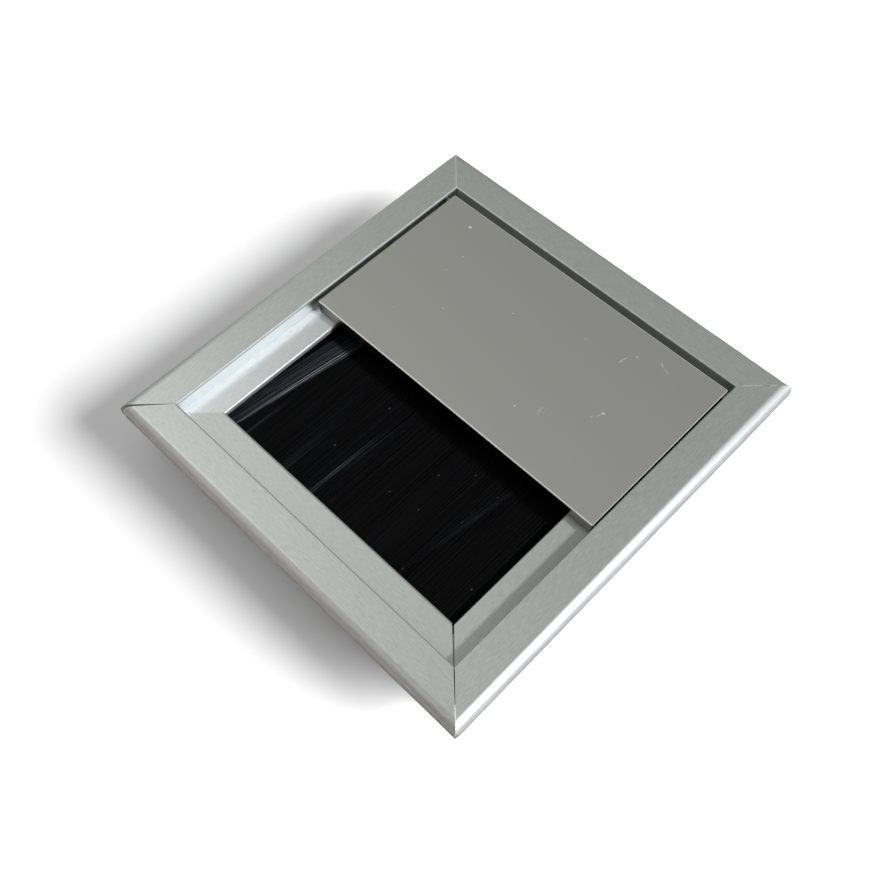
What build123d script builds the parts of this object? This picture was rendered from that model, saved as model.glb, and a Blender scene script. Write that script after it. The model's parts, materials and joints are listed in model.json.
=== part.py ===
"""Square desk cable outlet: mitred aluminium rim, flip lid and strip brush.

The frame stands on the bottom of its skirt: origin at the centre of the base, +Z up, +X to the
right along the hinge, +Y to the back, where the hinge is. All sizes are in millimetres.
"""
import os
from math import degrees, sqrt

from build123d import *

# Rim, seen from above
frame_width = 80.0
frame_depth = 82.5
flange_width = 7.05
ledge_width = 5.5

# Rail section, from the top down
flange_height = 3.1
recess_depth = 3.1
ledge_thickness = 1.0
brush_groove_height = 4.5
fin_thickness = 1.0
key_groove_height = 3.0
lip_thickness = 1.2
skirt_wall = 1.5
outer_edge_round = 1.7
inner_edge_round = 0.3
wall_foot_round = 0.15
ledge_edge_round = 0.45
lead_in_chamfer = 0.4

# Mitre joints: the front left one gapes at its outer end, the front right one at the ledge
mitre_gap = 0.02
front_left_opening = 0.45
front_right_opening = -0.28

# Outer tips of the rails: two of them are filed rounder than the rest
tip_round = 0.15
front_rail_left_tip_round = 1.1
right_rail_front_tip_round = 0.7

# Lid and hinge
lid_depth = 35.5
lid_thickness = 2.6
lid_side_gap = 0.66
lid_side_play = 0.2
lid_back_gap = 1.25
lid_top_drop = 0.4
lid_edge_break = 0.25
lid_heel_round = 1.2
pin_diameter = 1.5
pin_edge_distance = 1.1
pin_length = 6.4
pin_depth_in_lid = 3.2
pin_running_clearance = 0.05
pin_hole_depth = 3.2

# Strip brush
channel_height = 4.0
channel_depth = 4.6
channel_wall = 0.6
channel_end_gap = 0.5
core_wire_diameter = 1.0
core_wire_clearance = 0.05
bristle_clearance = 0.1
bristle_end_gap = 1.0
bristle_free_length = 37.5
bristle_straight_run = 8.0
bristle_droop_radius = 950.0
strand_group_pitch = 0.6
strand_group_relief = 0.25

# Loose tuft at the brush's left end: its two sides at the channel and at its tips, and how far it stands up
loose_tuft_root = (-27.9, -24.8)
loose_tuft_tip = (-27.0, -19.9)
loose_tuft_groups = 6
loose_tuft_rise = 0.3
loose_tuft_shortfall = 1.0

# Corner keys and their set screws
key_clearance = 0.1
key_arm_length = 16.0
key_arm_width = 5.0
key_top_clearance = 0.2
key_inner_round = 1.5
key_end_chamfer = 0.6
screw_diameter = 3.0
screw_length = 3.2
screw_from_corner = 10.5
screw_hole_clearance = 0.05
screw_socket = 1.5
screw_socket_depth = 1.5
screw_point_chamfer = 0.4
screw_access_diameter = 3.4

# Levels and faces that follow from the sizes above
lip_top = lip_thickness
fin_bottom = lip_top + key_groove_height
fin_top = fin_bottom + fin_thickness
ledge_bottom = fin_top + brush_groove_height
ledge_top = ledge_bottom + ledge_thickness
frame_height = ledge_top + recess_depth
seat_level = frame_height - flange_height
ledge_reach = flange_width + ledge_width
skirt_face = flange_width - skirt_wall
recess_half_width = frame_width / 2 - flange_width
recess_half_depth = frame_depth / 2 - flange_width

os.makedirs("parts", exist_ok=True)


def finish(piece, name):
    """Label a finished piece and write it to its own file."""
    piece.label = name
    export_step(piece, f"parts/{name}.step")


# Rails. Each lies with its outer face at half_span from the centre, turned about Z.
def rail_directions(turn):
    inward = Vector(0, 1, 0).rotate(Axis.Z, turn)
    along = Vector(1, 0, 0).rotate(Axis.Z, turn)
    return inward, along


def rail_section():
    """The extruded section: x runs inwards from the outer edge, y up from the base."""
    with BuildSketch(mode=Mode.PRIVATE) as section:
        with BuildLine():
            Polyline(
                (0, seat_level),
                (0, frame_height),
                (flange_width, frame_height),
                (flange_width, ledge_top),
                (ledge_reach, ledge_top),
                (ledge_reach, ledge_bottom),
                (flange_width, ledge_bottom),
                (flange_width, fin_top),
                (ledge_reach, fin_top),
                (ledge_reach, fin_bottom),
                (flange_width, fin_bottom),
                (flange_width, lip_top),
                (ledge_reach, lip_top),
                (ledge_reach, 0),
                (skirt_face, 0),
                (skirt_face, seat_level),
                close=True,
            )
        make_face()

        def corner(x, y):
            return section.vertices().sort_by_distance((x, y, 0))[0]

        fillet(corner(0, frame_height), outer_edge_round)
        fillet(corner(flange_width, frame_height), inner_edge_round)
        fillet(corner(flange_width, ledge_top), wall_foot_round)
        fillet(corner(ledge_reach, ledge_top), ledge_edge_round)
        chamfer(corner(skirt_face, 0), lead_in_chamfer)
    return section.sketch


def mitre_plane(turn, half_span, half_length, end, opening=0.0):
    """The saw cut at one end, facing out of the rail. An opening more than zero gapes at the outer tip and closes at
    the inner flange corner; one less than zero closes at the outer tip and gapes at the ledge."""
    inward, along = rail_directions(turn)
    closed_at = 0 if opening < 0 else flange_width
    gape_reach = (ledge_reach if opening < 0 else flange_width) * sqrt(2)
    normal = (inward + along * end).normalized().rotate(Axis.Z, -end * degrees(opening / gape_reach))
    setback = mitre_gap / sqrt(2)
    pivot = inward * (closed_at - half_span) + along * end * (half_length - closed_at - setback)
    return Plane(origin=pivot, z_dir=normal)


def make_rail(
    name, turn, half_span, half_length, openings=(0.0, 0.0), tip_rounds=(tip_round, tip_round), hinge_hole=None
):
    inward, along = rail_directions(turn)
    section_plane = Plane(origin=inward * -half_span, x_dir=inward, z_dir=along)
    base_plane = Plane(origin=inward * -half_span, x_dir=along, z_dir=(0, 0, 1))
    screw_run = half_length - flange_width - key_clearance - screw_from_corner
    screw_line = flange_width + key_clearance + key_arm_width / 2
    with BuildPart() as rail:
        with BuildSketch(section_plane):
            add(rail_section())
        extrude(amount=half_length, both=True)
        for end, opening in zip((-1, 1), openings):
            split(bisect_by=mitre_plane(turn, half_span, half_length, end), keep=Keep.BOTTOM)
            if opening:
                split(bisect_by=mitre_plane(turn, half_span, half_length, end, opening), keep=Keep.BOTTOM)
        # The sharp outer tips are filed round
        with BuildSketch() as outline:
            Rectangle(frame_width, frame_depth)
            for end, radius in zip((-1, 1), tip_rounds):
                tip = along * end * half_length - inward * half_span
                fillet(outline.vertices().sort_by_distance(tip)[0], radius)
        extrude(amount=frame_height, mode=Mode.INTERSECT)
        # Access holes for the set screws, through the bottom lip
        with BuildSketch(base_plane):
            with Locations((-screw_run, screw_line), (screw_run, screw_line)):
                Circle(screw_access_diameter / 2)
        extrude(amount=lip_thickness, mode=Mode.SUBTRACT)
        if hinge_hole:
            # Blind hole for the hinge pin, drilled into the recess wall
            wall_plane = Plane(origin=inward * (flange_width - half_span), x_dir=along, z_dir=-inward)
            with BuildSketch(wall_plane):
                with Locations(wall_plane.to_local_coords(Vector(*hinge_hole))):
                    Circle(pin_diameter / 2 + pin_running_clearance)
            extrude(amount=pin_hole_depth, mode=Mode.SUBTRACT)
    finish(rail.part, name)


# Lid. The hinge axis lies close under its top back edge, and its heel is round, so that it turns clear of the rim.
lid_top = frame_height - lid_top_drop
lid_width = 2 * (recess_half_width - lid_side_gap)
lid_back = recess_half_depth - lid_back_gap
hinge_y = lid_back - pin_edge_distance
hinge_z = lid_top - pin_edge_distance
lid_ends = (lid_side_play - lid_width / 2, lid_side_play + lid_width / 2)

with BuildPart() as lid:
    with BuildSketch(Plane.YZ.offset(lid_ends[0])) as lid_section:
        with Locations((lid_back, lid_top)):
            Rectangle(lid_depth, lid_thickness, align=(Align.MAX, Align.MAX))
        lid_heel = (lid_back, lid_top - lid_thickness, 0)
        fillet(lid_section.vertices().sort_by_distance(lid_heel)[1:], lid_edge_break)
        fillet(lid_section.vertices().sort_by_distance(lid_heel)[0], lid_heel_round)
    extrude(amount=lid_width)
    end_edges = lid.edges().filter_by(Axis.Y).group_by(Axis.Z)[-1]
    chamfer(end_edges, lid_edge_break / 2)
    for end, facing in zip(lid_ends, (1, -1)):
        with BuildSketch(Plane(origin=(end, hinge_y, hinge_z), z_dir=(facing, 0, 0))):
            Circle(pin_diameter / 2)
        extrude(amount=pin_depth_in_lid, mode=Mode.SUBTRACT)
finish(lid.part, "lid")

# Hinge pins, fixed in the lid's ends
for side, end, outward in (("left", lid_ends[0], -1), ("right", lid_ends[1], 1)):
    with BuildPart() as hinge_pin:
        seat = end - outward * pin_depth_in_lid
        with BuildSketch(Plane(origin=(seat, hinge_y, hinge_z), z_dir=(outward, 0, 0))):
            Circle(pin_diameter / 2)
        extrude(amount=pin_length)
        chamfer(hinge_pin.faces().sort_by(Axis.X)[0 if outward < 0 else -1].edges(), pin_diameter / 10)
    finish(hinge_pin.part, f"{side}_hinge_pin")

hinge_holes = {
    "left": (-recess_half_width, hinge_y, hinge_z),
    "right": (recess_half_width, hinge_y, hinge_z),
}
make_rail(
    "front_rail",
    0,
    frame_depth / 2,
    frame_width / 2,
    openings=(front_left_opening, front_right_opening),
    tip_rounds=(front_rail_left_tip_round, tip_round),
)
make_rail(
    "right_rail",
    90,
    frame_width / 2,
    frame_depth / 2,
    tip_rounds=(right_rail_front_tip_round, tip_round),
    hinge_hole=hinge_holes["right"],
)
make_rail("back_rail", 180, frame_depth / 2, frame_width / 2)
make_rail("left_rail", 270, frame_width / 2, frame_depth / 2, hinge_hole=hinge_holes["left"])

# Strip brush: a folded channel on the front rail's fin, open to the back
channel_back = -recess_half_depth
channel_mouth = channel_back + channel_depth
channel_half_length = recess_half_width - channel_end_gap
channel_middle = fin_top + channel_height / 2
channel_inside = channel_height - 2 * channel_wall

with BuildPart() as brush_channel:
    with BuildSketch(Plane.YZ):
        with Locations((channel_back + channel_depth / 2, channel_middle)):
            Rectangle(channel_depth, channel_height)
        with Locations((channel_back + channel_wall + channel_depth / 2, channel_middle)):
            Rectangle(channel_depth, channel_inside, mode=Mode.SUBTRACT)
    extrude(amount=channel_half_length, both=True)
    outer_folds = brush_channel.edges().filter_by(Axis.X).group_by(Axis.Y)[0]
    fillet(outer_folds, channel_wall)
finish(brush_channel.part, "brush_channel")

# Core wire that the bristles are folded around, at the closed side of the channel
wire_y = channel_back + channel_wall + channel_inside / 2
with BuildPart() as brush_core_wire:
    with BuildSketch(Plane.YZ):
        with Locations((wire_y, channel_middle)):
            Circle(core_wire_diameter / 2)
    extrude(amount=channel_half_length, both=True)
finish(brush_core_wire.part, "brush_core_wire")

# Bristles: a mat with one ridge for each group of strands, which leaves the channel level and droops to its tips
bristle_half_width = channel_half_length - bristle_end_gap
bristle_thickness = channel_inside - 2 * bristle_clearance
strand_groups = round(2 * bristle_half_width / strand_group_pitch)
droop_angle = degrees((bristle_free_length - bristle_straight_run) / bristle_droop_radius)
bristle_root = channel_back + channel_wall + bristle_clearance
bristle_crest = channel_middle + bristle_thickness / 2


def strand_ridges(left, right, groups, crest):
    """Zigzag across the strands from left to right, with its ridges at the crest."""
    half_pitch = (right - left) / (2 * groups)
    heights = (crest - strand_group_relief, crest)
    return [(left + step * half_pitch, heights[step % 2]) for step in range(2 * groups + 1)]


with BuildPart() as brush_bristles:
    with BuildLine(Plane.YZ) as strand:
        level = Line((bristle_root, channel_middle), (channel_mouth + bristle_straight_run, channel_middle))
        JernArc(start=level @ 1, tangent=level % 1, radius=bristle_droop_radius, arc_size=-droop_angle)
    with BuildSketch(Plane(origin=strand.line @ 0, x_dir=(1, 0, 0), z_dir=strand.line % 0)):
        with BuildLine():
            ridges = strand_ridges(-bristle_half_width, bristle_half_width, strand_groups, bristle_thickness / 2)
            underside = [(x, -height) for x, height in reversed(ridges)]
            Polyline(*ridges, *underside, close=True)
        make_face()
    sweep(path=strand.line)
    # The loose tuft springs up out of the mat and fans out towards its tips
    tuft_tip_y = channel_mouth + bristle_free_length - loose_tuft_shortfall
    for y, sides, crest in (
        (channel_mouth, loose_tuft_root, bristle_crest),
        (tuft_tip_y, loose_tuft_tip, bristle_crest + loose_tuft_rise),
    ):
        with BuildSketch(Plane.XZ.offset(-y)):
            with BuildLine():
                ridges = strand_ridges(*sides, loose_tuft_groups, crest)
                Polyline(*ridges, (sides[1], channel_middle), (sides[0], channel_middle), close=True)
            make_face()
    loft(ruled=True)
    with BuildSketch(Plane.YZ):
        with Locations((wire_y, channel_middle)):
            Circle(core_wire_diameter / 2 + core_wire_clearance)
    extrude(amount=bristle_half_width, both=True, mode=Mode.SUBTRACT)
finish(brush_bristles.part, "brush_bristles")

# Corner keys lie on the bottom lip, in the lower grooves of the two rails that they join
key_corner_x = recess_half_width - key_clearance
key_corner_y = recess_half_depth - key_clearance
key_thickness = key_groove_height - key_top_clearance
screw_points = []
for name, side, end in (
    ("front_left_key", -1, -1),
    ("front_right_key", 1, -1),
    ("back_left_key", -1, 1),
    ("back_right_key", 1, 1),
):
    outer = Vector(side * key_corner_x, end * key_corner_y, 0)
    along_x = outer + Vector(-side * screw_from_corner, -end * key_arm_width / 2, 0)
    along_y = outer + Vector(-side * key_arm_width / 2, -end * screw_from_corner, 0)
    screw_points += [along_x, along_y]
    with BuildPart() as corner_key:
        with BuildSketch(Plane.XY.offset(lip_top)):
            with BuildLine():
                Polyline(
                    (outer.X, outer.Y),
                    (outer.X - side * key_arm_length, outer.Y),
                    (outer.X - side * key_arm_length, outer.Y - end * key_arm_width),
                    (outer.X - side * key_arm_width, outer.Y - end * key_arm_width),
                    (outer.X - side * key_arm_width, outer.Y - end * key_arm_length),
                    (outer.X, outer.Y - end * key_arm_length),
                    close=True,
                )
            make_face()
            with Locations(along_x, along_y):
                Circle(screw_diameter / 2 + screw_hole_clearance, mode=Mode.SUBTRACT)
        extrude(amount=key_thickness)
        upright = corner_key.edges().filter_by(Axis.Z)
        inner_corner = outer + Vector(-side * key_arm_width, -end * key_arm_width, lip_top)
        arm_ends = upright.sort_by_distance(outer + Vector(0, 0, lip_top))[-4:]
        chamfer(arm_ends, key_end_chamfer)
        upright = corner_key.edges().filter_by(Axis.Z)
        fillet(upright.sort_by_distance(inner_corner)[0], key_inner_round)
    finish(corner_key.part, name)

# Set screws press up under the fin and hold the keys down on the lip
with BuildPart() as set_screws:
    with BuildSketch(Plane.XY.offset(fin_bottom - screw_length)):
        with Locations(*screw_points):
            Circle(screw_diameter / 2)
    extrude(amount=screw_length)
    chamfer(set_screws.faces().group_by(Axis.Z)[-1].edges(), screw_point_chamfer)
    with BuildSketch(Plane.XY.offset(fin_bottom - screw_length)):
        with Locations(*screw_points):
            RegularPolygon(screw_socket / 2, 6, major_radius=False)
    extrude(amount=screw_socket_depth, mode=Mode.SUBTRACT)
finish(set_screws.part, "set_screws")
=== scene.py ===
"""Looks for the square desk cable outlet: brushed rim, satin lid, loose black bristles, studio light.

Everything is in metres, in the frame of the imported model: +X along the hinge, +Y to the back, +Z up.
"""
import json
import math
import random

import bpy
from mathutils import Matrix, Vector


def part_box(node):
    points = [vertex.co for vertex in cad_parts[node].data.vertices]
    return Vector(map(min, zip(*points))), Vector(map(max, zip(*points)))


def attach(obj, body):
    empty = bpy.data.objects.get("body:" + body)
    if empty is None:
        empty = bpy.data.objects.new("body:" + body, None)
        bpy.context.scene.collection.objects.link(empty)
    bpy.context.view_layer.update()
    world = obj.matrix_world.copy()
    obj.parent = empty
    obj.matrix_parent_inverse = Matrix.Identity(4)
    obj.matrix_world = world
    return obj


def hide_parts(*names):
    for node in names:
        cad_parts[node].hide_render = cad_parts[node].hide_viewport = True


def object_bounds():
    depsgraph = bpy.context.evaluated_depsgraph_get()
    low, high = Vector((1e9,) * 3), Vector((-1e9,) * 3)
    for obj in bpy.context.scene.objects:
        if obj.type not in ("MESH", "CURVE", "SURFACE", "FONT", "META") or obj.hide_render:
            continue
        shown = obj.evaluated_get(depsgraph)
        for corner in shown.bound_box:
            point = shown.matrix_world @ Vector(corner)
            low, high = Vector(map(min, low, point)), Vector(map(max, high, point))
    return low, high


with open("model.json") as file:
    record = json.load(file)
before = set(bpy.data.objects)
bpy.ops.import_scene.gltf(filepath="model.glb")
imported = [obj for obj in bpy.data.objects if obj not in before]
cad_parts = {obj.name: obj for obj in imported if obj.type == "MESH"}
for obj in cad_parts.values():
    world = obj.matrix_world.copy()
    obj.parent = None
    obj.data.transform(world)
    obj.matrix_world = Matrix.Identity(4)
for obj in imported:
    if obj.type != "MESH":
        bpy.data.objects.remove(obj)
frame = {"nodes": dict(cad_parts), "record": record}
cad_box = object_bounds()
nodes = frame["nodes"]

MM = 0.001
IMAGE_SIDE = 870
RIM_BODY = "rim"

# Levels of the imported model, and the flange's width in its source
mounts = {mount["name"]: mount for mount in frame["record"]["mounts"]}
seat_level = mounts["flange_seat"]["pos_m"][2]
rim_high = cad_box[1]
flange_width = 7.05 * MM
recess_half_width = rim_high[0] - flange_width


# Camera, solved from the rim's edges in the photograph
CAMERA_AZIMUTH = math.radians(46.641)
CAMERA_ELEVATION = math.radians(59.309)
CAMERA_ROLL = math.radians(-2.297)
CAMERA_DISTANCE = 180.617 * MM
CAMERA_TARGET = Vector((1.722 * MM, -6.804 * MM, seat_level))
FOCAL_PIXELS = 1065.6
SENSOR_WIDTH = 36.0
NEAR_CLIP = 10 * MM


def direction(azimuth, elevation):
    """Unit vector towards a place seen at this azimuth and elevation, in radians."""
    level = math.cos(elevation)
    return Vector((math.sin(azimuth) * level, -math.cos(azimuth) * level, math.sin(elevation)))


def make_camera():
    data = bpy.data.cameras.new("camera")
    data.sensor_fit = "HORIZONTAL"
    data.sensor_width = SENSOR_WIDTH
    data.lens = FOCAL_PIXELS / IMAGE_SIDE * SENSOR_WIDTH
    data.clip_start = NEAR_CLIP
    camera = bpy.data.objects.new("camera", data)
    bpy.context.scene.collection.objects.link(camera)
    back = direction(CAMERA_AZIMUTH, CAMERA_ELEVATION)
    right = Vector((math.cos(CAMERA_AZIMUTH), math.sin(CAMERA_AZIMUTH), 0.0))
    up = back.cross(right)
    rolled_right = right * math.cos(CAMERA_ROLL) + up * math.sin(CAMERA_ROLL)
    rolled_up = up * math.cos(CAMERA_ROLL) - right * math.sin(CAMERA_ROLL)
    turn = Matrix((rolled_right, rolled_up, back)).transposed().to_4x4()
    camera.matrix_world = Matrix.Translation(CAMERA_TARGET + back * CAMERA_DISTANCE) @ turn
    bpy.context.scene.camera = camera


# Building blocks of the materials
NOISE_RANGE = (0.3, 0.7)


def new_material(name):
    material = bpy.data.materials.new(name)
    material.use_nodes = True
    tree = material.node_tree
    return material, tree, tree.nodes["Principled BSDF"]


def add_node(tree, kind, **settings):
    node = tree.nodes.new(kind)
    for key, value in settings.items():
        setattr(node, key, value)
    return node


def plug(tree, socket, operand):
    """Sets the socket to a number or a colour, or links another socket to it."""
    if isinstance(operand, tuple):
        socket.default_value = (*operand, 1.0)
    elif isinstance(operand, (int, float)):
        socket.default_value = operand
    else:
        tree.links.new(operand, socket)


def noise(tree, size, detail=2.0, roughness=0.5):
    """Noise over the part's frame. size gives the grain's length along x, y and z in metres."""
    coords = add_node(tree, "ShaderNodeTexCoord")
    mapping = add_node(tree, "ShaderNodeMapping")
    mapping.inputs["Scale"].default_value = [1.0 / s for s in size]
    grain = add_node(tree, "ShaderNodeTexNoise")
    grain.inputs["Scale"].default_value = 1.0
    grain.inputs["Detail"].default_value = detail
    grain.inputs["Roughness"].default_value = roughness
    tree.links.new(coords.outputs["Object"], mapping.inputs["Vector"])
    tree.links.new(mapping.outputs["Vector"], grain.inputs["Vector"])
    return grain.outputs["Fac"]


def remap(tree, value, low, high, new_low, new_high):
    """Maps low to high onto new_low to new_high, and holds the ends."""
    node = add_node(tree, "ShaderNodeMapRange")
    numbers = {"From Min": low, "From Max": high, "To Min": new_low, "To Max": new_high}
    for socket, number in numbers.items():
        node.inputs[socket].default_value = number
    tree.links.new(value, node.inputs["Value"])
    return node.outputs["Result"]


def spread(tree, grain, low, high):
    """Maps the range that noise mostly keeps to onto low to high."""
    return remap(tree, grain, *NOISE_RANGE, low, high)


def bump(tree, shader, height, distance, strength=0.2):
    node = add_node(tree, "ShaderNodeBump")
    node.inputs["Distance"].default_value = distance
    node.inputs["Strength"].default_value = strength
    tree.links.new(height, node.inputs["Height"])
    tree.links.new(node.outputs["Normal"], shader.inputs["Normal"])


def math_node(tree, operation, *operands):
    """A Math node. Each operand is a socket or a number."""
    node = add_node(tree, "ShaderNodeMath", operation=operation)
    for slot, operand in enumerate(operands):
        plug(tree, node.inputs[slot], operand)
    return node.outputs["Value"]


def mix(tree, kind, mask, off, on):
    """off where the mask is 0, on where it is 1. Each is a socket, or a number or colour."""
    node = add_node(tree, "ShaderNodeMix", data_type=kind)
    for slot, operand in (("Factor", mask), ("A", off), ("B", on)):
        plug(tree, node.inputs[slot], operand)
    return node.outputs["Result"]


def mix_value(tree, mask, off, on):
    return mix(tree, "FLOAT", mask, off, on)


def mix_colour(tree, mask, off, on):
    return mix(tree, "RGBA", mask, off, on)


def places(tree):
    """x, y and z of the surface in the part's frame."""
    coords = add_node(tree, "ShaderNodeTexCoord")
    split = add_node(tree, "ShaderNodeSeparateXYZ")
    tree.links.new(coords.outputs["Object"], split.inputs["Vector"])
    return split.outputs["X"], split.outputs["Y"], split.outputs["Z"]


# Rails: satin anodised aluminium
GRAIN_LENGTH = 1.4 * MM
GRAIN_WIDTH = 0.17 * MM
GRAIN_DEPTH = 0.004 * MM
GRAIN_COLOURS = ((0.406, 0.430, 0.406), (0.517, 0.547, 0.517))
RAIL_ROUGHNESS = (0.36, 0.40)
RAIL_METALLIC = 0.75

# Painted light in the left recess: its ledge is painted lighter, and its wall, from just above the ledge to
# the flange's edge, is smooth bare metal painted bright, for the window light they catch
PAINTED_LIT_LEDGE_COLOURS = ((0.51, 0.535, 0.52), (0.625, 0.65, 0.635))
PAINTED_LIT_WALL_COLOUR = (0.78, 0.82, 0.82)
WALL_ROUGHNESS = 0.28
WALL_SKIN = 0.08 * MM
WALL_FOOT = 0.1 * MM
WALL_TOP_INSET = 0.6 * MM

# Height in the bump of a face with no grain
FLAT = 0.5

# Painted highlight: light lines on the burrs along the two back mitres, where they catch the light; where
# the right one is left standing, in mm from the mitre's tip
BURR_WIDTH = 0.2 * MM
BURR_DEPTH = 0.3 * MM
BURR_HIGHLIGHT_COLOUR = (0.74, 0.75, 0.75)
RIGHT_BURRS = ((2.0, 2.85), (3.75, 4.8), (4.95, 6.2))

# Painted highlight on the right rail's rounded edge: where it starts and is full, from the outer side
HIGHLIGHT_START = 1.7 * MM
HIGHLIGHT_FULL = 0.4 * MM
PAINTED_EDGE_HIGHLIGHT = (0.80, 0.82, 0.81)


def recess_masks(tree, x, z):
    """Two masks for the left rail: the upright wall of the recess, and the ledge."""
    inside = math_node(tree, "GREATER_THAN", x, -recess_half_width - WALL_SKIN)
    above = math_node(tree, "GREATER_THAN", z, seat_level + WALL_FOOT)
    below = math_node(tree, "LESS_THAN", z, rim_high[2] - WALL_TOP_INSET)
    wall = math_node(tree, "MULTIPLY", math_node(tree, "MULTIPLY", inside, above), below)
    ledge = math_node(tree, "MULTIPLY", inside, math_node(tree, "SUBTRACT", 1.0, above))
    return wall, ledge


def burr_highlight_mask(tree, x, y, z):
    """1 on the painted highlights of the burrs along the two back mitres: unbroken on the left, in pieces
    on the right.
    """
    from_side = math_node(tree, "SUBTRACT", rim_high[0], math_node(tree, "ABSOLUTE", x))
    from_back = math_node(tree, "SUBTRACT", rim_high[1], y)
    off_mitre = math_node(tree, "ABSOLUTE", math_node(tree, "SUBTRACT", from_side, from_back))
    near = math_node(tree, "LESS_THAN", off_mitre, BURR_WIDTH * math.sqrt(0.5))
    on_top = math_node(tree, "GREATER_THAN", z, rim_high[2] - BURR_DEPTH)
    kept = math_node(tree, "LESS_THAN", x, 0.0)
    for start, end in RIGHT_BURRS:
        beyond = math_node(tree, "GREATER_THAN", from_side, start * MM)
        before = math_node(tree, "LESS_THAN", from_side, end * MM)
        kept = math_node(tree, "MAXIMUM", kept, math_node(tree, "MULTIPLY", beyond, before))
    return math_node(tree, "MULTIPLY", math_node(tree, "MULTIPLY", near, on_top), kept)


def rail_material(name, along_x, painted_light_recess=False, painted_highlight_edge=False):
    """Satin anodised aluminium, slightly green, with a fine grain along the rail.

    In a recess with painted light the ledge is painted lighter than the flange, and the wall is smooth bare
    metal painted bright.
    """
    material, tree, shader = new_material(name)
    size = (GRAIN_LENGTH, GRAIN_WIDTH, GRAIN_WIDTH) if along_x else (GRAIN_WIDTH, GRAIN_LENGTH, GRAIN_WIDTH)
    grain = noise(tree, size, detail=3.0, roughness=0.6)
    x, y, z = places(tree)
    shade = spread(tree, grain, 0.0, 1.0)
    colour = mix_colour(tree, shade, *GRAIN_COLOURS)
    roughness = spread(tree, grain, *RAIL_ROUGHNESS)
    metallic = RAIL_METALLIC
    height = grain
    if painted_light_recess:
        # Painted light: the ledge painted lighter and the wall painted bright
        wall, ledge = recess_masks(tree, x, z)
        colour = mix_colour(tree, ledge, colour, mix_colour(tree, shade, *PAINTED_LIT_LEDGE_COLOURS))
        colour = mix_colour(tree, wall, colour, PAINTED_LIT_WALL_COLOUR)
        roughness = mix_value(tree, wall, roughness, WALL_ROUGHNESS)
        metallic = mix_value(tree, wall, RAIL_METALLIC, 1.0)
        height = mix_value(tree, wall, grain, FLAT)
    # Painted highlight: the right rail's rounded edge painted bright
    if painted_highlight_edge:
        edge_highlight = remap(tree, x, rim_high[0] - HIGHLIGHT_START, rim_high[0] - HIGHLIGHT_FULL, 0.0, 1.0)
        colour = mix_colour(tree, edge_highlight, colour, PAINTED_EDGE_HIGHLIGHT)
    # Painted highlight on the mitre burrs
    colour = mix_colour(tree, burr_highlight_mask(tree, x, y, z), colour, BURR_HIGHLIGHT_COLOUR)
    plug(tree, shader.inputs["Base Color"], colour)
    plug(tree, shader.inputs["Metallic"], metallic)
    plug(tree, shader.inputs["Roughness"], roughness)
    bump(tree, shader, height, GRAIN_DEPTH)
    return material


# Flecks and scratches on the lid: x, y, half length and half width in mm, turn in degrees, strength
LID_MARKS = (
    (-24.3, 29.0, 0.26, 0.24, 0, 1.0),
    (20.3, 14.7, 0.24, 0.16, 40, 0.9),
    (20.0, 14.0, 0.6, 0.09, 78, 0.35),
    (-20.3, 22.9, 0.13, 0.12, 0, 0.7),
    (-14.6, 11.9, 0.13, 0.12, 0, 0.6),
    (-4.8, 19.7, 0.14, 0.12, 0, 0.6),
    (19.3, 12.8, 0.16, 0.12, 57, 0.4),
    (17.1, 27.6, 0.16, 0.14, 0, 0.7),
    (-20.3, 18.6, 0.12, 0.12, 0, 0.3),
    (-21.2, 6.0, 0.12, 0.12, 0, 0.3),
    (8.5, 5.5, 0.2, 0.14, 20, 0.6),
    (8.2, 24.4, 0.45, 0.1, 35, 0.2),
    (21.3, 29.2, 0.5, 0.09, -35, 0.45),
    (22.6, 28.7, 0.95, 0.08, -18, 0.25),
    (15.6, 25.0, 0.42, 0.12, 85, 0.5),
    (15.8, 25.9, 0.5, 0.09, 76, 0.4),
    (12.3, 7.7, 1.1, 0.08, 99, 0.3),
    (12.0, 7.9, 0.64, 0.08, 86, 0.25),
    (12.9, 8.2, 1.0, 0.06, 92, 0.15),
)
MARK_COLOUR = (0.95, 0.95, 0.93)
# A mark is full out to the first share of its half length and width, and gone at the second
MARK_FULL = 0.6
MARK_GONE = 1.3

LID_GRAIN = 0.2 * MM
LID_COLOURS = ((0.341, 0.344, 0.314), (0.368, 0.372, 0.340))
LID_ROUGHNESS = (0.42, 0.45)
LID_METALLIC = 0.72
# Painted highlight along the lid's top edges: its colour, its width at the sides, and its width at the
# front and back, which is also how far down from the top it reaches
LID_EDGE_HIGHLIGHT = (0.82, 0.82, 0.79)
LID_SIDE_HIGHLIGHT = 0.08 * MM
LID_FRONT_HIGHLIGHT = 0.2 * MM
CUT_FACE_SKIN = 0.02 * MM
CUT_FACE_ROUGHNESS = 0.22


def marks_mask(tree):
    """How strongly a fleck or scratch shows: 1 in the middle of the strongest, 0 on the plain plate."""
    coords = add_node(tree, "ShaderNodeTexCoord")
    total = 0.0
    for x, y, half_length, half_width, turn, strength in LID_MARKS:
        mapping = add_node(tree, "ShaderNodeMapping", vector_type="TEXTURE")
        mapping.inputs["Location"].default_value = (x * MM, y * MM, 0.0)
        mapping.inputs["Rotation"].default_value = (0.0, 0.0, math.radians(turn))
        mapping.inputs["Scale"].default_value = (half_length * MM, half_width * MM, 1.0)
        away = add_node(tree, "ShaderNodeVectorMath", operation="LENGTH")
        tree.links.new(coords.outputs["Object"], mapping.inputs["Vector"])
        tree.links.new(mapping.outputs["Vector"], away.inputs[0])
        mark = remap(tree, away.outputs["Value"], MARK_FULL, MARK_GONE, strength, 0.0)
        total = math_node(tree, "MAXIMUM", mark, total)
    return total


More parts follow.
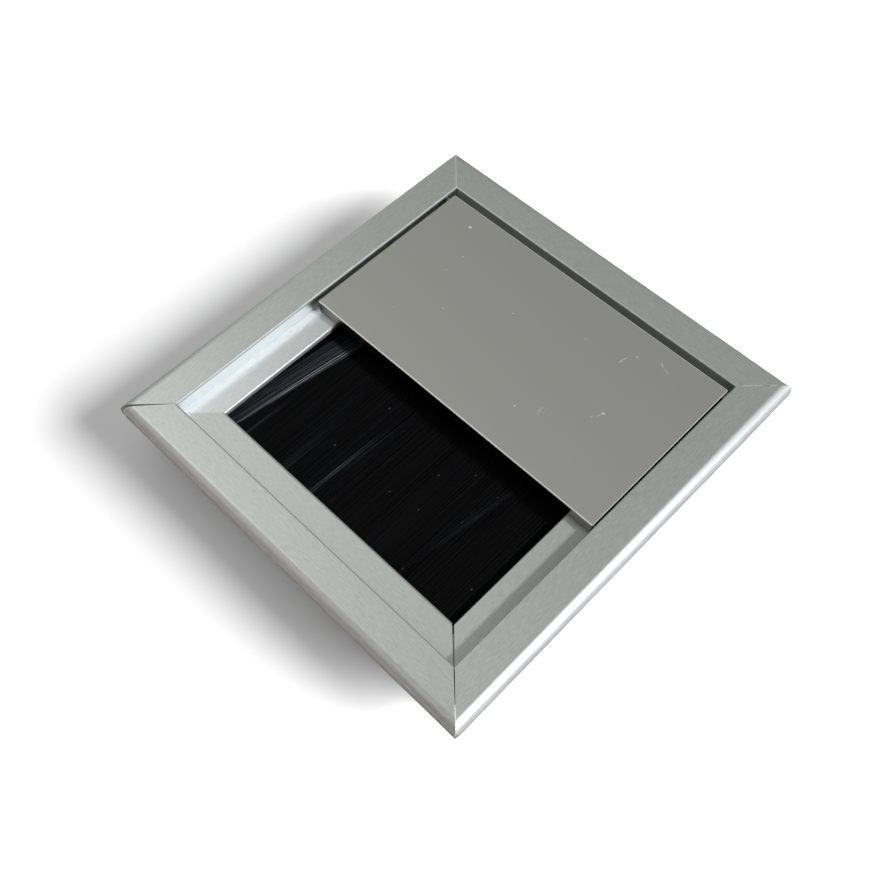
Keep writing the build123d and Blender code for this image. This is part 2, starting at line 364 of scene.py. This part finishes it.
def lid_border_mask(tree, side_margin, front_margin):
    """1 within these margins of the lid's sides and of its front and back, 0 elsewhere."""
    low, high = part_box("lid")
    near = 0.0
    for axis, margin in enumerate((side_margin, front_margin)):
        middle = (low[axis] + high[axis]) / 2
        half = (high[axis] - low[axis]) / 2
        from_middle = math_node(tree, "ABSOLUTE", math_node(tree, "SUBTRACT", places(tree)[axis], middle))
        near = math_node(tree, "MAXIMUM", math_node(tree, "GREATER_THAN", from_middle, half - margin), near)
    return near


def lid_masks(tree):
    """Two masks: the painted highlights along the lid's top edges, and its cut upright faces below them."""
    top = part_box("lid")[1][2]
    on_top = math_node(tree, "GREATER_THAN", places(tree)[2], top - LID_FRONT_HIGHLIGHT)
    below = math_node(tree, "SUBTRACT", 1.0, on_top)
    lid_edge_highlight = math_node(tree, "MULTIPLY", lid_border_mask(tree, LID_SIDE_HIGHLIGHT, LID_FRONT_HIGHLIGHT), on_top)
    cut = math_node(tree, "MULTIPLY", lid_border_mask(tree, CUT_FACE_SKIN, CUT_FACE_SKIN), below)
    return lid_edge_highlight, cut


def lid_material():
    """Warm grey satin plate with smoother cut faces, painted highlights along its top edges, and a few
    flecks and scratches.
    """
    material, tree, shader = new_material("lid_satin")
    grain = noise(tree, (LID_GRAIN, LID_GRAIN, LID_GRAIN))
    lid_edge_highlight, cut = lid_masks(tree)
    colour = mix_colour(tree, spread(tree, grain, 0.0, 1.0), *LID_COLOURS)
    # Painted highlight on the top edges
    colour = mix_colour(tree, lid_edge_highlight, colour, LID_EDGE_HIGHLIGHT)
    colour = mix_colour(tree, marks_mask(tree), colour, MARK_COLOUR)
    roughness = mix_value(tree, cut, spread(tree, grain, *LID_ROUGHNESS), CUT_FACE_ROUGHNESS)
    plug(tree, shader.inputs["Base Color"], colour)
    plug(tree, shader.inputs["Roughness"], roughness)
    plug(tree, shader.inputs["Metallic"], mix_value(tree, cut, LID_METALLIC, 1.0))
    bump(tree, shader, mix_value(tree, cut, grain, FLAT), GRAIN_DEPTH)
    return material


# Steel of the small parts: dark and light colour, and the lowest roughness
ZINC_PLATE = ((0.42, 0.43, 0.43), (0.58, 0.58, 0.57), 0.32)
# Hinge pins and core wire: drawn steel painted dark, as painted shade in the hinge notch
DRAWN_STEEL_PAINTED_SHADE = ((0.16, 0.16, 0.16), (0.24, 0.24, 0.24), 0.4)
BLACK_OXIDE = ((0.02, 0.02, 0.02), (0.05, 0.05, 0.05), 0.38)
CLOUD_SIZE = 1.2 * MM
CLOUD_DEPTH = 0.02 * MM
CLOUD_ROUGHNESS = 0.12


def steel_material(name, dark, light, roughness):
    material, tree, shader = new_material(name)
    cloud = noise(tree, (CLOUD_SIZE, CLOUD_SIZE, CLOUD_SIZE), detail=4.0)
    shade = spread(tree, cloud, 0.0, 1.0)
    plug(tree, shader.inputs["Base Color"], mix_colour(tree, shade, dark, light))
    plug(tree, shader.inputs["Metallic"], 1.0)
    plug(tree, shader.inputs["Roughness"], spread(tree, cloud, roughness, roughness + CLOUD_ROUGHNESS))
    bump(tree, shader, cloud, CLOUD_DEPTH)
    return material


# Each strand of the brush carries its own tone. Mat strands are near black at random, dust specks are grey,
# and the tuft and the glints carry painted light. Colours of tone 0, of the lit grey tone and of tone 1
TONE = "tone"
LIT_GREY_TONE = 0.12
BLACK_STRAND = (0.0024, 0.0024, 0.0026)
LIT_GREY_AND_DUST = (0.032, 0.038, 0.045)
GLINT_AND_DUST_PALE = (0.36, 0.34, 0.33)
STRAND_ROUGHNESS = 0.5
STRAND_SPECULAR = 0.04


def bristle_material():
    """Black nylon, up to the painted light grey of glints and lit tuft, and the grey of dust."""
    material, tree, shader = new_material("bristle_nylon")
    tone = add_node(tree, "ShaderNodeAttribute", attribute_name=TONE)
    ramp = add_node(tree, "ShaderNodeValToRGB")
    stops = ramp.color_ramp.elements
    stops.new(LIT_GREY_TONE)
    for stop, colour in zip(stops, (BLACK_STRAND, LIT_GREY_AND_DUST, GLINT_AND_DUST_PALE)):
        stop.color = (*colour, 1.0)
    tree.links.new(tone.outputs["Fac"], ramp.inputs["Fac"])
    plug(tree, shader.inputs["Base Color"], ramp.outputs["Color"])
    plug(tree, shader.inputs["Roughness"], STRAND_ROUGHNESS)
    plug(tree, shader.inputs["Specular IOR Level"], STRAND_SPECULAR)
    return material


def paint(node, material):
    slots = nodes[node].data.materials
    slots.clear()
    slots.append(material)


def dress_cad_nodes():
    grain_x = rail_material("rail_grain_x", along_x=True)
    zinc = steel_material("zinc_plate", *ZINC_PLATE)
    drawn_painted_shade = steel_material("drawn_steel", *DRAWN_STEEL_PAINTED_SHADE)
    for node in ("front_rail", "back_rail"):
        paint(node, grain_x)
    paint("right_rail", rail_material("rail_grain_y_rubbed", along_x=False, painted_highlight_edge=True))
    # The left rail's recess carries painted light
    paint("left_rail", rail_material("rail_grain_y_light_recess", along_x=False, painted_light_recess=True))
    paint("lid", lid_material())
    for node in ("left_hinge_pin", "right_hinge_pin", "brush_core_wire"):
        paint(node, drawn_painted_shade)
    for node in ("brush_channel", "front_left_key", "front_right_key", "back_left_key", "back_right_key"):
        paint(node, zinc)
    paint("set_screws", steel_material("black_oxide", *BLACK_OXIDE))


# Bristles: loose strands that replace the ridged mat
STRAND_RADIUS = 0.1 * MM
STRAND_SIDES = 3
STRAND_RINGS = 9
MAT_SEED = 7
STRAY_SEED = 11
ROOT_INSET = 1.2 * MM
DROOP_START = -21.6 * MM
DROOP_RADIUS = 950 * MM

# The mat: its layers, and how far its strands stray, in mm
LAYERS = 6
LAYER_DROP = 0.2 * MM
STRAND_PITCH = 0.18 * MM
TOP_INSET = 1.2 * STRAND_RADIUS
HEIGHT_STRAY = 0.12
REACH_STRAY = 0.8
TIP_STRAY = 0.25
MAT_TONE = 0.003

# Loose tuft at the left end, which stands up and fans out over the mat: its sides at root and tips
TUFT_LOCKS = 10
LOCK_STRANDS = 9
TUFT_ROOT = (-29.6 * MM, -26.2 * MM)
TUFT_TIP = (-25.6 * MM, -20.6 * MM)
TUFT_RISE = 0.3 * MM
TUFT_RADIUS = 0.06 * MM
# Least and most of: a lock's tone, which is painted light for a lock raised into the light, a strand's
# share of it and its place in the lock; then, in mm, its depth below the crest, its extra rise and how far
# it stops short of the mat's tips
LOCK_LIT_TONES = (0.015, 0.1)
TONE_SHARES = (0.6, 1.4)
LOCK_PLACES = (0.25, 0.75)
TUFT_DEPTHS = (0.1, 0.45)
TUFT_EXTRA_RISES = (0.0, 0.3)
TUFT_SHORTFALLS = (0.5, 2.5)

# Strands with a painted glint, as if they catch the light: x at root and tip, y where the painted glint is
# brightest, half length, tone, count, spread
PAINTED_GLINTS = (
    (-26.4, -21.7, -13.0, 14.0, 0.8, 1, 0.0),
    (-26.3, -21.0, -13.0, 14.0, 0.7, 1, 0.0),
    (-6.3, -5.2, -23.0, 5.5, 0.2, 4, 1.0),
    (-13.3, -12.3, -25.0, 5.0, 0.07, 5, 1.4),
    (-23.4, -21.8, -26.0, 4.5, 0.06, 4, 0.8),
    (14.0, 19.5, -12.0, 9.0, 0.03, 5, 1.2),
    (-5.5, -4.0, -15.0, 6.0, 0.03, 5, 1.5),
)
GLINT_RADIUS = 0.06 * MM
GLINT_DEPTH = 0.02 * MM
GLINT_SHARES = (0.5, 1.0)

# Dust on the mat: x and y in mm
SPECKS = (
    (-8.8, -7.7), (-10.2, -19.4), (6.7, -11.2), (11.2, -6.9), (3.0, -19.1),
    (8.8, -18.1), (16.7, -7.4), (15.6, -14.8), (14.5, -27.3), (24.9, -22.2),
)
SPECK_RUN = Vector((0.05, 0.2, 0.02)) * MM
SPECK_TONES = (0.15, 0.4)


class Strands:
    """Gathers thin tubes into one mesh, with a tone for every point."""

    def __init__(self, seed):
        self.draw = random.Random(seed)
        self.vertices = []
        self.faces = []
        self.tones = []

    def add(self, points, tones, radius=STRAND_RADIUS):
        start = len(self.vertices)
        spin = self.draw.uniform(0.0, 2.0 * math.pi)
        for point, tone in zip(points, tones):
            for side in range(STRAND_SIDES):
                angle = spin + 2.0 * math.pi * side / STRAND_SIDES
                self.vertices.append(point + Vector((math.cos(angle), 0.0, math.sin(angle))) * radius)
                self.tones.append(tone)
        for ring in range(len(points) - 1):
            for side in range(STRAND_SIDES):
                a = start + ring * STRAND_SIDES + side
                b = start + ring * STRAND_SIDES + (side + 1) % STRAND_SIDES
                self.faces.append((a, b, b + STRAND_SIDES, a + STRAND_SIDES))
        last = start + (len(points) - 1) * STRAND_SIDES
        self.faces.append(tuple(start + side for side in range(STRAND_SIDES)))
        self.faces.append(tuple(last + side for side in reversed(range(STRAND_SIDES))))

    def make(self, name, material):
        mesh = bpy.data.meshes.new(name)
        mesh.from_pydata([tuple(v) for v in self.vertices], [], self.faces)
        mesh.polygons.foreach_set("use_smooth", [True] * len(mesh.polygons))
        mesh.attributes.new(TONE, "FLOAT", "POINT").data.foreach_set("value", self.tones)
        mesh.materials.append(material)
        strands = bpy.data.objects.new(name, mesh)
        bpy.context.scene.collection.objects.link(strands)
        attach(strands, RIM_BODY)
        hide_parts("brush_bristles")


def between(ends, share):
    return ends[0] + (ends[1] - ends[0]) * share


def strand_line(root_x, tip_x, root_y, tip_y, height, rise=0.0):
    """A strand's middle line: level at the channel, rising evenly to its tip, drooping like the mat."""
    points = []
    for ring in range(STRAND_RINGS):
        share = ring / (STRAND_RINGS - 1)
        y = between((root_y, tip_y), share)
        droop = max(0.0, y - DROOP_START) ** 2 / (2.0 * DROOP_RADIUS)
        points.append(Vector((between((root_x, tip_x), share), y, height + rise * share - droop)))
    return points


def make_mat(low, high, crest, material):
    mat = Strands(MAT_SEED)
    draw = mat.draw
    span = high.x - low.x - 2.0 * STRAND_RADIUS
    count = int(span / STRAND_PITCH)
    for layer in range(LAYERS):
        for place in range(count):
            x = low.x + STRAND_RADIUS + span * (place + draw.random()) / count
            height = crest - TOP_INSET - layer * LAYER_DROP - draw.uniform(0.0, HEIGHT_STRAY) * MM
            reach = high.y - abs(draw.gauss(0.0, REACH_STRAY)) * MM
            tip = min(max(x + draw.gauss(0.0, TIP_STRAY) * MM, low.x), high.x)
            points = strand_line(x, tip, low.y + ROOT_INSET, reach, height)
            mat.add(points, [draw.uniform(0.0, MAT_TONE)] * STRAND_RINGS)
    mat.make("bristle_mat", material)


def add_tuft(stray, low, high, crest):
    """The loose tuft: narrow locks of strands painted grey, as painted light on a tuft raised into the
    light, with dark gaps between them.
    """
    draw = stray.draw
    for lock in range(TUFT_LOCKS):
        lock_light = draw.uniform(*LOCK_LIT_TONES)
        for _ in range(LOCK_STRANDS):
            across = (lock + draw.uniform(*LOCK_PLACES)) / TUFT_LOCKS
            root = between(TUFT_ROOT, across)
            tip = between(TUFT_TIP, across)
            depth = draw.uniform(*TUFT_DEPTHS) * MM
            rise = TUFT_RISE + draw.uniform(*TUFT_EXTRA_RISES) * MM
            reach = high.y - draw.uniform(*TUFT_SHORTFALLS) * MM
            points = strand_line(root, tip, low.y + ROOT_INSET, reach, crest - depth, rise)
            tone = lock_light * draw.uniform(*TONE_SHARES)
            stray.add(points, [tone] * STRAND_RINGS, TUFT_RADIUS)


def add_glints(stray, low, high, crest):
    """Single strands with a painted glint, each brightest at one place along it."""
    draw = stray.draw
    for root, tip, bright_y, half_length, tone, count, stray_width in PAINTED_GLINTS:
        rise = TUFT_RISE if root * MM < TUFT_ROOT[1] else 0.0
        for _ in range(count):
            shift = draw.gauss(0.0, stray_width / 2.0) * MM
            ends = (root * MM + shift, tip * MM + shift, low.y + ROOT_INSET, high.y)
            points = strand_line(*ends, crest - GLINT_DEPTH, rise)
            away = [(point.y / MM - bright_y) / half_length for point in points]
            # Painted glint: the tone falls off along the strand from its brightest place
            tones = [tone * draw.uniform(*GLINT_SHARES) * math.exp(-a * a) for a in away]
            stray.add(points, tones, GLINT_RADIUS)


def add_dust(stray, crest):
    for x, y in SPECKS:
        speck = Vector((x * MM, y * MM, crest))
        stray.add([speck, speck + SPECK_RUN], [stray.draw.uniform(*SPECK_TONES)] * 2)


def make_bristles():
    low, high = (Vector(corner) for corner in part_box("brush_bristles"))
    material = bristle_material()
    crest = high.z - TUFT_RISE
    make_mat(low, high, crest, material)
    stray = Strands(STRAY_SEED)
    add_tuft(stray, low, high, crest)
    add_glints(stray, low, high, crest)
    add_dust(stray, crest)
    stray.make("bristle_strays", material)


# Stage
FLOOR_HALF = 1.5
FLOOR_CLOUD = 0.3
FLOOR_COLOURS = ((0.945, 0.945, 0.945), (0.955, 0.955, 0.955))
FLOOR_ROUGHNESS = 0.9
FLOOR_SPECULAR = 0.1


def floor_material():
    material, tree, shader = new_material("pale_floor")
    cloud = noise(tree, (FLOOR_CLOUD, FLOOR_CLOUD, FLOOR_CLOUD))
    plug(tree, shader.inputs["Base Color"], mix_colour(tree, cloud, *FLOOR_COLOURS))
    plug(tree, shader.inputs["Roughness"], FLOOR_ROUGHNESS)
    plug(tree, shader.inputs["Specular IOR Level"], FLOOR_SPECULAR)
    return material


def make_floor():
    corners = ((-1, -1), (1, -1), (1, 1), (-1, 1))
    mesh = bpy.data.meshes.new("floor")
    mesh.from_pydata([(x * FLOOR_HALF, y * FLOOR_HALF, 0) for x, y in corners], [], [(0, 1, 2, 3)])
    mesh.materials.append(floor_material())
    floor = bpy.data.objects.new("floor", mesh)
    bpy.context.scene.collection.objects.link(floor)
    floor.visible_glossy = False
    return floor


# Lights: azimuth and elevation of where each stands, in degrees, as for the camera; size in metres;
# power; colour. The window lights the part and throws the shadows on its ledges. The wide window lights
# the floor alone, so that the shadow there is as long and soft as a taller part would throw. The panels
# show only as reflections.
COOL = (0.97, 1.0, 1.09)
PLAIN = (1.0, 1.0, 1.0)
WARM = (1.0, 1.0, 0.97)
ROSY = (1.22, 1.0, 1.02)
WINDOW = ("window", 118, 45, 0.18, 39.0, PLAIN)
WIDE_WINDOW = ("wide_window", 118, 26, 1.05, 66.0, PLAIN)
FILL = ("fill", 300, 70, 2.6, 12.0, PLAIN)
PANELS = (
    ("ceiling_left", 268, 51, 0.6, 1.5, PLAIN),
    ("ceiling_front", 285, 58, 0.65, 1.1, COOL),
    ("ceiling_top", 250, 71, 0.65, 0.85, PLAIN),
    ("low_left_pane", 102, 11, 0.5, 2.8, COOL),
    ("low_right_pane", 124, 12, 0.5, 0.8, COOL),
    ("middle_pane", 112, 32, 0.6, 1.35, COOL),
    ("upper_pane", 111, 54, 0.65, 5.0, COOL),
    ("under_right", 108, -45, 1.5, 1.3, COOL),
    ("front_panel", 332, 38, 1.1, 1.7, ROSY),
    ("front_low", 335, 6, 0.8, 0.6, ROSY),
    ("under_front", 336, -36, 1.6, 2.4, ROSY),
    ("low_left", 252, 20, 0.8, 0.9, PLAIN),
    ("under_left", 251, -12, 1.0, 1.0, PLAIN),
    ("low_back", 197, 18, 0.8, 0.15, WARM),
)
LIGHT_DISTANCE = 1.5
# The world is dim as a light, and pale as the backdrop behind the floor
WORLD_STRENGTH = 0.115
BACKDROP_STRENGTH = 0.95


def add_light(name, azimuth, elevation, size, power, colour):
    data = bpy.data.lights.new(name, "AREA")
    data.shape = "DISK"
    data.size = size
    data.energy = power
    data.color = colour
    light = bpy.data.objects.new(name, data)
    bpy.context.scene.collection.objects.link(light)
    towards = direction(math.radians(azimuth), math.radians(elevation))
    turn = towards.to_track_quat("Z", "Y").to_matrix().to_4x4()
    light.matrix_world = Matrix.Translation(towards * LIGHT_DISTANCE) @ turn
    return light


def link_light(light, floor, state):
    """Lets the light reach the floor alone (INCLUDE) or everything but the floor (EXCLUDE)."""
    receivers = bpy.data.collections.new(f"{light.name}_receivers")
    receivers.objects.link(floor)
    receivers.collection_objects[0].light_linking.link_state = state
    light.light_linking.receiver_collection = receivers


def make_lights(floor):
    window, wide_window, fill = (add_light(*light) for light in (WINDOW, WIDE_WINDOW, FILL))
    link_light(window, floor, "EXCLUDE")
    link_light(wide_window, floor, "INCLUDE")
    for light in (window, wide_window, fill):
        light.visible_glossy = False
    for panel in PANELS:
        add_light(*panel).visible_diffuse = False


def make_world():
    world = bpy.data.worlds.new("studio")
    world.use_nodes = True
    tree = world.node_tree
    background = tree.nodes["Background"]
    seen = add_node(tree, "ShaderNodeLightPath").outputs["Is Camera Ray"]
    strength = remap(tree, seen, 0.0, 1.0, WORLD_STRENGTH, BACKDROP_STRENGTH)
    plug(tree, background.inputs["Color"], PLAIN)
    plug(tree, background.inputs["Strength"], strength)
    bpy.context.scene.world = world


make_camera()
dress_cad_nodes()
make_bristles()
make_lights(make_floor())
make_world()
bpy.context.scene.view_settings.view_transform = "Standard"
